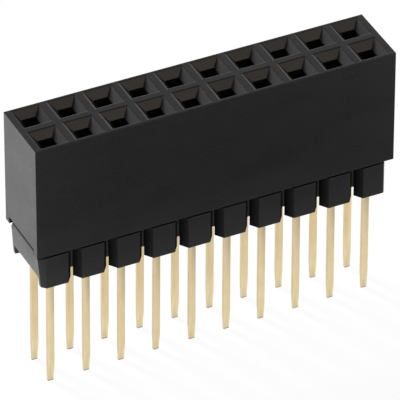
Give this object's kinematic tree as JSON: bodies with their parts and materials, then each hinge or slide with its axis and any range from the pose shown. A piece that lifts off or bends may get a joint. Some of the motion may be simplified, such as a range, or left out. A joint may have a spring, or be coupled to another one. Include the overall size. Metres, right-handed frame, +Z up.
{
  "type": "elevated dual-row socket header",
  "caption": "Straight dual-row board connector with funnelled sockets in a tall black housing, a loose comb-shaped spacer below it and long flat gold-plated tails.",
  "frame": {"origin": "under the middle of the housing, level with the tips of the tails", "axes": "+X along the strip towards its right end, +Y from the front row to the rear row, +Z up from the tails to the sockets"},
  "size_m": [0.0256, 0.005, 0.0195],
  "materials": {
    "housing": "satin moulded",
    "spacer": "satin moulded",
    "contact": "satin gold plating"
  },
  "bodies": {
    "root": {"housing": "housing", "spacer": "spacer", "contact_front_01": "contact", "contact_front_02": "contact", "contact_front_03": "contact", "contact_front_04": "contact", "contact_front_05": "contact", "contact_front_06": "contact", "contact_front_07": "contact", "contact_front_08": "contact", "contact_front_09": "contact", "contact_front_10": "contact", "contact_rear_01": "contact", "contact_rear_02": "contact", "contact_rear_03": "contact", "contact_rear_04": "contact", "contact_rear_05": "contact", "contact_rear_06": "contact", "contact_rear_07": "contact", "contact_rear_08": "contact", "contact_rear_09": "contact", "contact_rear_10": "contact"}
  },
  "joints": []
}
